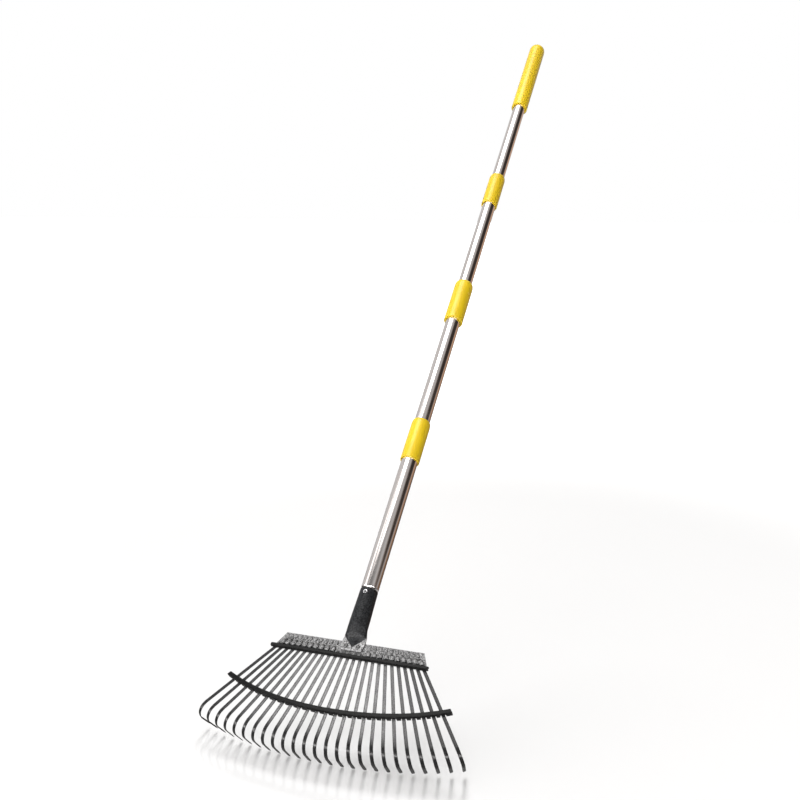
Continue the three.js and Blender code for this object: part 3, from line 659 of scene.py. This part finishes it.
def make_plate():
    """The trapezium sheet, as a closed section carried along X whose width follows the outline.

    Its upper side is the greatest lift and sink of all the tails that the foot leaves bare.  Its tone paints
    shade into the openings and onto the steep sides of the relief."""
    columns, channel_rows, sheet_rows = 1150, 5, 65
    bevel = 0.25
    slot_depth = 1.05
    low = CLAMP_LOW + CHANNEL_THICK
    waist = CLAMP_LOW + CLAMP_WIDTH
    y = np.concatenate([
        np.linspace(low, waist, channel_rows + 1)[:-1],
        np.linspace(waist, PLATE_TOP, sheet_rows),
    ])
    half = np.interp(y, [low, waist, PLATE_TOP], [PLATE_HALF_LOW, PLATE_HALF_LOW, PLATE_HALF_TOP])
    x = half[:, None] * np.linspace(-1, 1, columns)
    yy = np.broadcast_to(y[:, None], x.shape)
    lift = np.zeros_like(x)
    sink = np.zeros_like(x)
    for i in np.arange(-HALF_TINES, HALF_TINES + 1):
        if not under_foot(i):
            tail_lift, tail_sink = tail_relief(i, x, yy)
            lift = np.maximum(lift, tail_lift)
            sink = np.maximum(sink, tail_sink)
    top = -TINE_THICK / 2 - SEAT_GAP
    upper = top + lift - slot_depth * sink
    upper[[0, -1]] -= bevel
    shell_top = np.stack([x, yy, upper], -1)
    shell_low = np.stack([x, yy, np.full_like(x, top - PLATE_THICK)], -1)
    ring = np.concatenate([shell_top, shell_low[::-1]], 0)
    verts, faces = swept(from_head(np.transpose(ring, (1, 0, 2))))
    faces = [face[::-1] for face in faces]
    across = np.gradient(lift, axis=1) / np.gradient(x, axis=1)
    upward = np.gradient(lift, axis=0) / np.gradient(y)[:, None]
    # painted shade on the steep sides of the relief; the sink adds painted shade in the openings
    steep_side_shade = 0.85 * ease(0.7, 1.6, np.hypot(across, upward))
    tone = np.concatenate([np.maximum(sink, steep_side_shade), np.zeros_like(sink)], 0).T
    make_piece("stamped_plate", verts, faces, PLATE_STEEL, "head", ("head_plate",), smooth=38, tone=tone)


make_plate()


# ------------------------------------------------------------------ socket, rivets and screw
def socket_half(y):
    """Half width up the head: foot to flare to waist, then a straight taper to the mouth."""
    waist = FOOT_LOW + 40
    upper = SOCKET_WAIST + (SOCKET_RADIUS - SOCKET_WAIST) * (y - waist) / (MOUTH_ALONG - waist)
    pressed = FOOT_HALF + (SOCKET_HALF_WIDE - FOOT_HALF) * ease(FOOT_LOW, FOOT_LOW + 12, y)
    return pressed + (upper - pressed) * ease(FOOT_LOW + 8, waist, y)


def socket_surface():
    """Outer rings from the foot's lower edge to the mouth, then the mouth's rim and the bore.

    Low down each ring is a flat sheet with a half-elliptic crown whose width grows in a V from the rivets up;
    higher up it blends into the circle of the mouth, leaned square to the pole.  The tone is a painted sheen
    on the flat flanges beside the crown, and marks the cut edge of the mouth."""
    sides = 128
    lip = 0.35
    foot_part = FOOT_LOW + np.linspace(0, 60, 88)
    y = np.concatenate([foot_part, np.linspace(FOOT_LOW + 62, MOUTH_ALONG - 0.6, 18)])
    base = -TINE_THICK / 2
    wing = base + FOOT_THICK
    turn = np.linspace(0, 2 * np.pi, sides, endpoint=False)[None, :]
    y = y[:, None]
    half = socket_half(y)
    middle = axis_height(y)
    rounded = ease(FOOT_LOW + 22, FOOT_LOW + 36, y)
    height = middle - base + (SOCKET_RADIUS - middle + base) * ease(FOOT_LOW + 18, FOOT_LOW + 48, y)
    crown_half = half * np.clip((y - RIVET_PLACE + 1.5) / 18, 0, 1)
    crown_high = (middle + height - wing) * ease(RIVET_PLACE - 2, FOOT_LOW + 26, y)
    tilt = POLE_RISE * ease(FOOT_LOW + 26, FOOT_LOW + 60, y)
    c, s = np.cos(turn), np.sin(turn)
    x = half * c
    share = np.minimum(1, abs(x) / np.maximum(crown_half, 0.01))
    crown = wing + crown_high * np.sqrt(1 - share ** 2)
    flat_z = np.where(abs(s) < 1e-6, (base + wing) / 2, np.where(s > 0, crown, base))
    z = flat_z + (middle + height * s - flat_z) * rounded
    # painted sheen: lightens the flat flanges beside the crown
    painted_flange_sheen = ease(0.97, 1.0, share) * (1 - ease(FOOT_LOW + 24, FOOT_LOW + 30, y)) * (s > 0)
    lean = (z - middle) * np.sin(tilt)
    outer = np.stack([x, y - lean, middle + (z - middle) * np.cos(tilt)], -1)
    bore = SOCKET_RADIUS - SOCKET_WALL
    rings = [outer]
    tones = [painted_flange_sheen]
    mouth = ((SOCKET_RADIUS - lip, 0.0), (bore + 0.3, 0.0), (bore, 0.4), (bore, SOCKET_BORE_DEPTH))
    for radius, depth in mouth:
        centre = MOUTH_ALONG - depth * np.cos(POLE_RISE)
        rise = radius * s
        rings.append(np.stack([
            radius * c,
            centre - rise * np.sin(POLE_RISE),
            axis_height(centre) + rise * np.cos(POLE_RISE),
        ], -1))
        tones.append(np.full_like(rise, 0.8 if depth == 0 else 0.0))
    return np.concatenate(rings, 0), np.concatenate(tones, 0)


def make_socket():
    """The pressed socket, whose outer rings and bore close into one shell."""
    surface, tone = socket_surface()
    verts, faces = swept(from_head(surface))
    faces = [face[::-1] for face in faces]
    make_piece("pressed_socket", verts, faces, SOCKET_PAINT, "head", ("socket",), smooth=32, tone=tone)


def dome(radius, height, steps=8):
    """A dome's profile from its rim to the axis: radius cos a, height sin a."""
    a = np.linspace(0, np.pi / 2, steps)
    return [(radius * np.cos(v), height * np.sin(v)) for v in a[:-1]] + [(0.0, height)]


def make_rivet(index, side):
    """A button-headed rivet: a domed head over the foot, its shank, and a flattened tail below."""
    seat = -TINE_THICK / 2 + FOOT_THICK + SEAT_GAP
    tail = -TINE_THICK / 2 - 2 * SEAT_GAP - PLATE_THICK
    set_over = RIVET_SHANK + 1.0
    profile = [(0.0, tail - 1.3), (set_over - 0.6, tail - 1.3), (set_over, tail - 0.7), (set_over, tail),
               (RIVET_SHANK, tail), (RIVET_SHANK, seat), (RIVET_HEAD - 0.2, seat), (RIVET_HEAD, seat + 0.25)]
    profile += [(r, seat + 0.25 + h) for r, h in dome(RIVET_HEAD, 1.55)][1:]
    points, faces = turned(profile, 40)
    points = np.stack([points[:, 0] + side * RIVET_SPAN / 2, RIVET_PLACE + points[:, 2], points[:, 1]], -1)
    make_piece(f"button_rivet_{index}", from_head(points), faces, RIVET_STEEL, "head", (f"rivet_{index}",))


def make_screw():
    """A pan-head screw: height over the head is a dome less a cross whose arms narrow and rise outwards."""
    seat = SOCKET_RADIUS + SEAT_GAP
    sides = 96
    rings = np.linspace(0, 1, 26)[1:]
    turn = np.linspace(0, 2 * np.pi, sides, endpoint=False)
    r = rings[:, None] * (SCREW_HEAD - 0.25)
    a = turn[None, :]
    top = seat + 0.7 + 1.3 * np.sqrt(1 - (rings[:, None] * 0.86) ** 2)
    arm_width = 0.8 - 0.2 * rings[:, None]
    arm = np.minimum(abs(r * np.sin(a)), abs(r * np.cos(a)))
    cross = (1 - ease(arm_width - 0.16, arm_width + 0.12, arm)) * (1 - ease(1.5, 2.1, r))
    z = top - 1.25 * cross * (1 - 0.35 * rings[:, None])
    head = np.stack([r * np.cos(a), z, r * np.sin(a)], -1)
    rim = [(SCREW_HEAD - 0.05, seat + 1.0), (SCREW_HEAD, seat + 0.7), (SCREW_HEAD, seat), (SCREW_SHANK, seat),
           (SCREW_SHANK, seat - 5.0), (0.6, seat - 6.2), (0.05, seat - 6.4)]
    skirt = np.stack([np.stack([q * np.cos(turn), np.full(sides, h), q * np.sin(turn)], -1) for q, h in rim])
    middle = np.stack([0.02 * np.cos(turn), np.full(sides, seat + 0.75), 0.02 * np.sin(turn)], -1)[None]
    rings_all = np.concatenate([middle, head, skirt], 0)
    # painted shade in the cross recess of the head, darkest at its middle
    tone = np.concatenate([np.ones((1, sides)), np.clip(cross * 1.3, 0, 1), np.zeros(skirt.shape[:2])], 0)
    points = np.stack([rings_all[..., 0], rings_all[..., 2] - SCREW_PLACE, rings_all[..., 1]], -1)
    verts, faces = swept(from_pole(points))
    make_piece("cross_screw", verts, faces, ZINC, "head", ("socket_screw",), smooth=30, tone=tone)


make_socket()
for index, side in ((1, -1), (2, 1)):
    make_rivet(index, side)
make_screw()


# ------------------------------------------------------------------ pole
POLE_BODIES = ("head", "section_2", "section_3", "grip_section")
COLLAR_BODIES = ("collar_ring_1", "collar_ring_2", "collar_ring_3")


def tube_radius(n):
    """The outer radius of tube n, counted from the lowest: each slides in the one below."""
    return TUBE_RADIUS - n * (TUBE_WALL + SLIDE_GAP)


def tube_top(n):
    """Where tube n ends: at the collet in its collar, or under the grip's cap on the last."""
    if n < len(COLLAR_SEAT):
        return COLLAR_SEAT[n] + COLLAR_LENGTH[n] - COLLET_INSET
    return GRIP_SEAT + GRIP_LENGTH - GRIP_CAP - SEAT_GAP


def on_pole(name, profile, material, body, replaced, sides=96, smooth=35.0):
    """A turned piece about the pole's axis, with its heights measured from the mouth of the socket."""
    points, faces = turned(profile, sides)
    faces = [face[::-1] for face in faces]
    make_piece(name, from_pole(points), faces, material, body, replaced, smooth)


def make_tubes():
    """Thin tubes, up the outside and down the inside: the lowest narrows to a neck inside the
    socket, and the others are eased in at their lower ends."""
    neck = SOCKET_RADIUS - SOCKET_WALL - SEAT_GAP
    r, t = tube_radius(0), TUBE_WALL
    on_pole("lower_tube", [
        (neck, -NECK_DEPTH), (neck, SEAT_GAP), (neck + 0.8, 0.9),
        (r - 0.5, 2.2), (r - 0.1, 2.7), (r, 3.2), (r, tube_top(0)),
        (r - t, tube_top(0)), (r - t, 3.3), (neck - t, SEAT_GAP + 0.1), (neck - t, -NECK_DEPTH),
    ], STAINLESS, POLE_BODIES[0], ("tube_1",))
    for n, name in ((1, "second_tube"), (2, "third_tube"), (3, "upper_tube")):
        r = tube_radius(n)
        low = tube_top(n - 1) - TUBE_OVERLAP
        on_pole(name, [
            (r - 0.08, low), (r, low + 0.3), (r, tube_top(n)), (r - t, tube_top(n)), (r - t, low),
        ], STAINLESS, POLE_BODIES[n], (f"tube_{n + 1}",))


def rolled_lip(outer, low, radius, steps):
    """The lower lip of a collar or of the grip: an arc from its underside round to its outside."""
    return [tuple(p) for p in rounded_corner((outer - radius, low + radius), radius, -90, 20, steps)]


def make_collars():
    """Twist-lock collars: a rolled lower lip, a straight barrel and a shoulder that rounds in on top."""
    shoulder = 9.0
    for n, body in enumerate(COLLAR_BODIES):
        low = COLLAR_SEAT[n]
        high = low + COLLAR_LENGTH[n]
        outer = COLLAR_RADIUS[n]
        inner = outer - COLLAR_WALL
        lower = tube_radius(n) + SEAT_GAP
        upper = tube_radius(n + 1) + SEAT_GAP
        profile = [(lower, low + 0.5), (lower + 0.25, low)]
        profile += rolled_lip(outer, low, 0.7, 6)
        profile += [(outer - 0.12, low + 1.5), (outer - 0.1, low + 2.2), (outer, low + 3.0)]
        profile += [(outer, high - shoulder - 2)]
        a = np.radians(np.linspace(0, 78, 12))
        drawn_in = upper + 0.5 + (outer - upper - 0.5) * np.cos(a)
        profile += list(zip(drawn_in, high - shoulder + shoulder * np.sin(a)))
        profile += [(upper + 0.3, high), (upper, high - 0.3), (upper, high - 6.5),
                    (inner, high - 10.2), (inner, low + 6), (lower, low + 5)]
        on_pole(f"twist_collar_{n + 1}", profile, YELLOW, body, (f"collar_{n + 1}",), smooth=50)


def make_grip():
    """The grip: from inside its cap, down the bore, round a rolled lip, up the barrel and over the end."""
    high = GRIP_SEAT + GRIP_LENGTH
    bore = tube_radius(3) + SEAT_GAP
    profile = [(0.0, high - GRIP_CAP), (bore, high - GRIP_CAP)]
    profile += [(bore, GRIP_SEAT + 0.5), (bore + 0.3, GRIP_SEAT)]
    profile += rolled_lip(GRIP_RADIUS, GRIP_SEAT, 0.8, 7)
    profile += [(GRIP_RADIUS - 0.1, GRIP_SEAT + 1.8), (GRIP_RADIUS - 0.08, GRIP_SEAT + 2.6),
                (GRIP_RADIUS, GRIP_SEAT + 3.4)]
    a = np.linspace(0, np.pi / 2, 22)
    drawn_in = GRIP_FLAT + (GRIP_RADIUS - GRIP_FLAT) * np.cos(a)
    profile += list(zip(drawn_in, high - GRIP_DOME + GRIP_DOME * np.sin(a)))
    profile += [(0.0, high)]
    on_pole("hand_grip", profile, YELLOW, POLE_BODIES[3], ("grip",), smooth=50)


make_tubes()
make_collars()
make_grip()

for name, obj in frame["nodes"].items():
    if name.startswith(("collet_", "end_plug_")):
        obj.data.materials.clear()
        obj.data.materials.append(DARK)


# ------------------------------------------------------------------ floor, light and camera
FLOOR_REACH = 30.0
FLOOR_DROP = 0.0004
FLOOR_GLOW = (0.17, 1.1)
FLOOR_GLOW_FROM, FLOOR_GLOW_TO = 0.75, 2.6

# each light of the studio: the direction it stands in, the angles in degrees within which it is
# full and beyond which it is gone, and its strength; the flag takes that share of the light away
SOFT_BOX = ((-0.19, -0.04, 0.98), 9, 25, 4.4)
KEY_LIGHT = ((-0.72, -0.25, 0.62), 8, 16, 1.0)
SIDE_LIGHT = ((-0.80, 0.55, 0.25), 22, 48, 0.14)
COPPER_LIGHT = ((0.58, 0.80, -0.16), 12, 30, 0.12)
DARK_FLAG = ((0.80, 0.35, 0.50), 15, 34, -0.93)
STRIP_STRENGTH = 22.0
WARM_WHITE = (1.0, 0.985, 0.975)
COPPER = (1.0, 0.60, 0.38)

CAMERA_PLACE = (0.57139, -1.79474, 0.75404)
CAMERA_DOWN, CAMERA_TURN = 10.674, 20.484
CAMERA_LENS, CAMERA_SENSOR = 48.557, 36.0


def make_floor():
    """A plain pale floor with a faint reflection, which glows from a dim centre out to white."""
    mesh = bpy.data.meshes.new("pale_floor")
    corners = [(-1, -1, 0), (1, -1, 0), (1, 1, 0), (-1, 1, 0)]
    mesh.from_pydata((np.array(corners, float) * FLOOR_REACH).tolist(), [], [(0, 1, 2, 3)])
    floor = bpy.data.objects.new("pale_floor", mesh)
    floor.location.z = -FLOOR_DROP
    bpy.context.scene.collection.objects.link(floor)
    material, tree, shader = new_material("pale_floor")
    shader.inputs["Base Color"].default_value = (0.45, 0.45, 0.45, 1)
    shader.inputs["Roughness"].default_value = 0.1
    shader.inputs["IOR"].default_value = 2.2
    shader.inputs["Emission Color"].default_value = (1, 1, 1, 1)
    where = tree.nodes.new("ShaderNodeTexCoord")
    away = tree.nodes.new("ShaderNodeVectorMath")
    away.operation = "LENGTH"
    link(tree, where.outputs["Object"], away.inputs[0])
    glow = ramped(tree, away.outputs["Value"], *FLOOR_GLOW, FLOOR_GLOW_FROM, FLOOR_GLOW_TO, smooth=True)
    link(tree, glow, shader.inputs["Emission Strength"])
    mesh.materials.append(material)
    floor.visible_diffuse = False
    floor.visible_glossy = False


def direction_mask(tree, direction, toward, inner, outer):
    """1 within inner degrees of toward and 0 beyond outer, smooth between, by the dot product."""
    toward = np.array(toward, float)
    toward /= np.linalg.norm(toward)
    dot = tree.nodes.new("ShaderNodeVectorMath")
    dot.operation = "DOT_PRODUCT"
    link(tree, direction, dot.inputs[0])
    dot.inputs[1].default_value = tuple(toward)
    far, near = (float(np.cos(np.radians(angle))) for angle in (outer, inner))
    return ramped(tree, dot.outputs["Value"], 0.0, 1.0, far, near, smooth=True)


def studio_walls(tree, depth, rise):
    """Grey walls, light from the level up and again far below it, and dim on the camera's side,
    where a narrow bright strip runs along just above the level."""
    above = ramped(tree, rise, 0.02, 0.45, -0.3, 0.05)
    below = ramped(tree, rise, 0.4, 0.0, -0.7, -0.35)
    front = ramped(tree, depth, 1.0, 0.0, -0.55, -0.3)
    dimmed = maths(tree, "SUBTRACT", 1.0, maths(tree, "MULTIPLY", front, 0.8))
    walls = maths(tree, "MULTIPLY", maths(tree, "ADD", above, below), dimmed)
    lower_edge = ramped(tree, rise, 0.0, 1.0, 0.04, 0.08)
    upper_edge = ramped(tree, rise, 1.0, 0.0, 0.18, 0.23)
    strip = maths(tree, "MULTIPLY", front, maths(tree, "MULTIPLY", lower_edge, upper_edge))
    return maths(tree, "ADD", walls, maths(tree, "MULTIPLY", strip, STRIP_STRENGTH))


def make_studio():
    """Studio light as a function of direction: walls and a strip, four soft lights, one of them
    copper, and a dark flag to the right, with plain white where the camera sees it directly."""
    world = bpy.data.worlds.new("studio")
    bpy.context.scene.world = world
    world.use_nodes = True
    tree = world.node_tree
    tree.nodes.clear()
    direction = tree.nodes.new("ShaderNodeTexCoord").outputs["Generated"]
    split = tree.nodes.new("ShaderNodeSeparateXYZ")
    link(tree, direction, split.inputs[0])
    light = studio_walls(tree, split.outputs["Y"], split.outputs["Z"])
    for *place, strength in (SOFT_BOX, KEY_LIGHT, SIDE_LIGHT):
        mask = direction_mask(tree, direction, *place)
        light = maths(tree, "ADD", light, maths(tree, "MULTIPLY", mask, strength))
    copper = direction_mask(tree, direction, *COPPER_LIGHT[:3])
    light = maths(tree, "ADD", light, maths(tree, "MULTIPLY", copper, COPPER_LIGHT[3]))
    flag = direction_mask(tree, direction, *DARK_FLAG[:3])
    shaded = maths(tree, "ADD", 1.0, maths(tree, "MULTIPLY", flag, DARK_FLAG[3]))
    light = maths(tree, "MULTIPLY", light, shaded)
    warmth = maths(tree, "MAXIMUM", copper, maths(tree, "MULTIPLY", flag, 0.5))
    lit = tree.nodes.new("ShaderNodeBackground")
    link(tree, light, lit.inputs["Strength"])
    link(tree, colour_mix(tree, warmth, WARM_WHITE, COPPER), lit.inputs["Color"])
    plain = tree.nodes.new("ShaderNodeBackground")
    plain.inputs["Strength"].default_value = 1.0
    plain.inputs["Color"].default_value = (1, 1, 1, 1)
    path = tree.nodes.new("ShaderNodeLightPath")
    mix = tree.nodes.new("ShaderNodeMixShader")
    link(tree, path.outputs["Is Camera Ray"], mix.inputs[0])
    link(tree, lit.outputs[0], mix.inputs[1])
    link(tree, plain.outputs[0], mix.inputs[2])
    out = tree.nodes.new("ShaderNodeOutputWorld")
    link(tree, mix.outputs[0], out.inputs["Surface"])


def make_lamp(name, toward, strength, spread, shadow):
    """A distant lamp shining from the given direction, left out of reflections."""
    lamp = bpy.data.lights.new(name, "SUN")
    lamp.energy = strength
    lamp.angle = np.radians(spread)
    lamp.use_shadow = shadow
    lamp.cycles.cast_shadow = shadow
    obj = bpy.data.objects.new(name, lamp)
    obj.rotation_euler = Vector(toward).to_track_quat("Z", "Y").to_euler()
    obj.visible_glossy = False
    bpy.context.scene.collection.objects.link(obj)


def make_camera():
    """The camera, level from side to side, looking down a little and turned to the left."""
    camera = bpy.data.cameras.new("camera")
    camera.sensor_width = CAMERA_SENSOR
    camera.lens = CAMERA_LENS
    obj = bpy.data.objects.new("camera", camera)
    obj.location = CAMERA_PLACE
    obj.rotation_euler = tuple(np.radians((90 - CAMERA_DOWN, 0.0, CAMERA_TURN)))
    bpy.context.scene.collection.objects.link(obj)
    bpy.context.scene.camera = obj


make_floor()
make_studio()
make_lamp("back_lamp", (-0.28, 0.62, 0.73), 3.6, 16, True)
make_lamp("front_lamp", (-0.6, -0.7, 0.36), 1.25, 40, False)
make_camera()
bpy.context.scene.view_settings.view_transform = "Standard"
